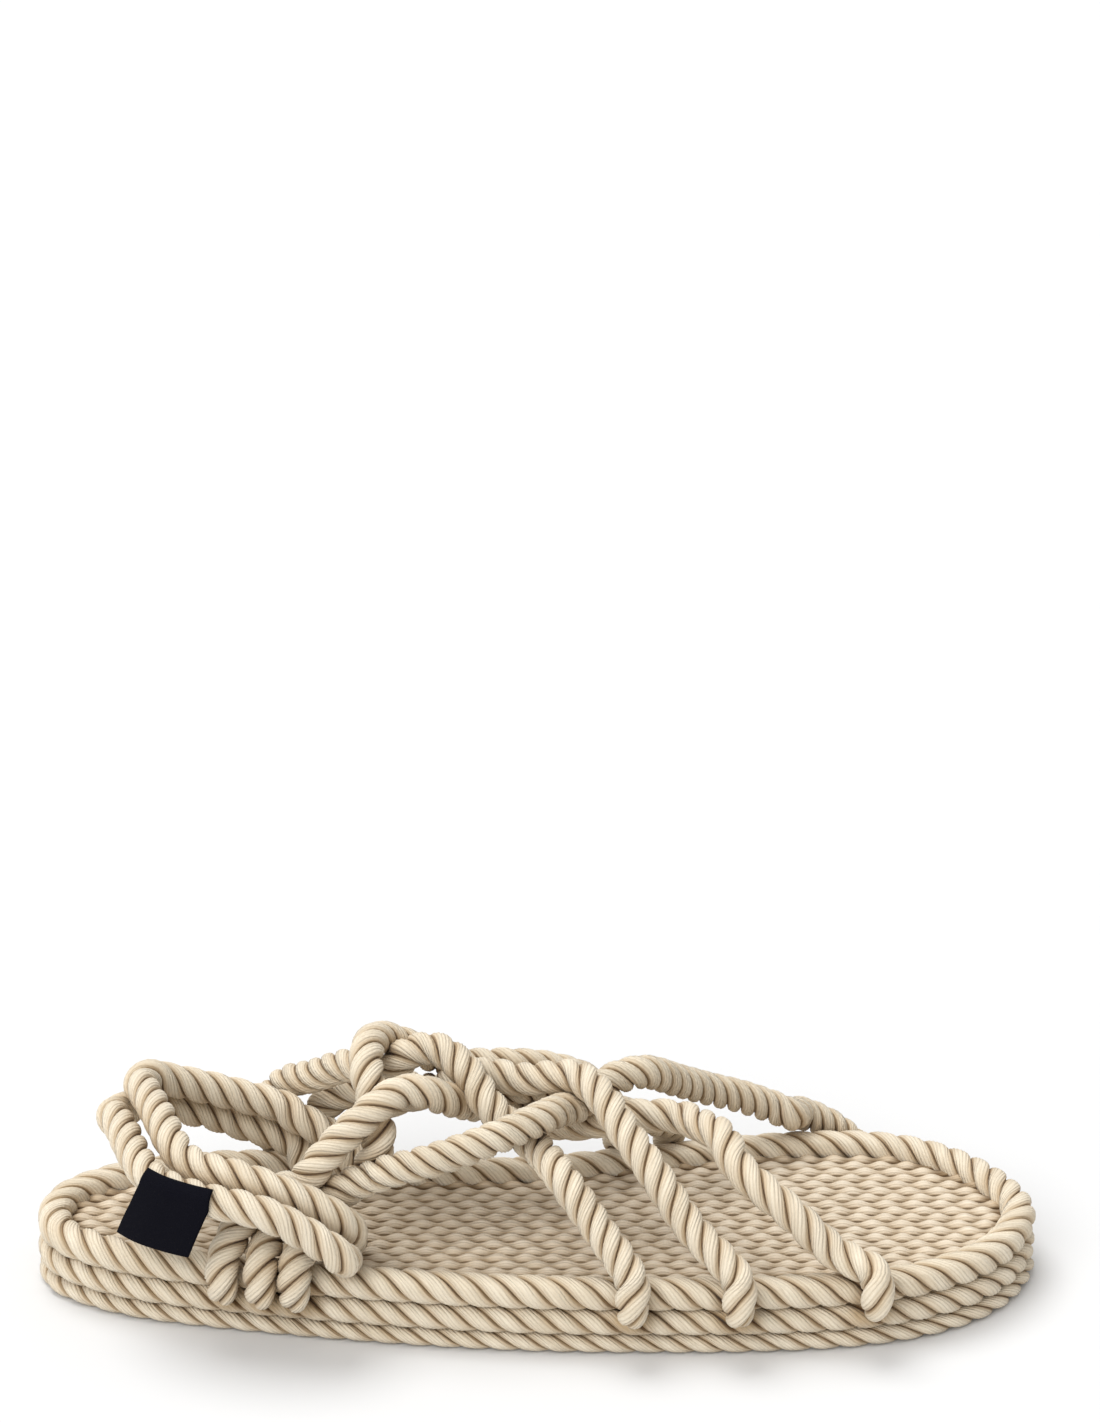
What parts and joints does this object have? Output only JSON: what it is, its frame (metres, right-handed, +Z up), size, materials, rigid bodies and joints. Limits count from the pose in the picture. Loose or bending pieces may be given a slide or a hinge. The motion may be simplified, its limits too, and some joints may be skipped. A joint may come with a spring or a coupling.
{
  "type": "rope sandal",
  "caption": "Flat right-foot sandal of twisted rope: stacked rope sole, woven footbed, crossed instep ropes over the rim and a slack heel strap.",
  "frame": {"origin": "on the floor under the middle of the bounding box", "axes": "+X from heel to toe, +Y to the inner (arch) side of the foot, +Z up"},
  "size_m": [0.28, 0.1194, 0.0729],
  "materials": {
    "rope": "natural beige three-strand rope, matt, fine yarn lines",
    "footbed_mat": "thin beige ropes laid side by side and sewn into a mat, matt",
    "label_cloth": "plain black woven tape, matt"
  },
  "bodies": {
    "root": {"bottom_rope": "rope", "middle_rope": "rope", "top_rope": "rope", "footbed": "footbed_mat", "front_straps": "rope", "heel_strap_upper": "rope", "heel_strap_lower": "rope", "label": "label_cloth"}
  },
  "joints": []
}
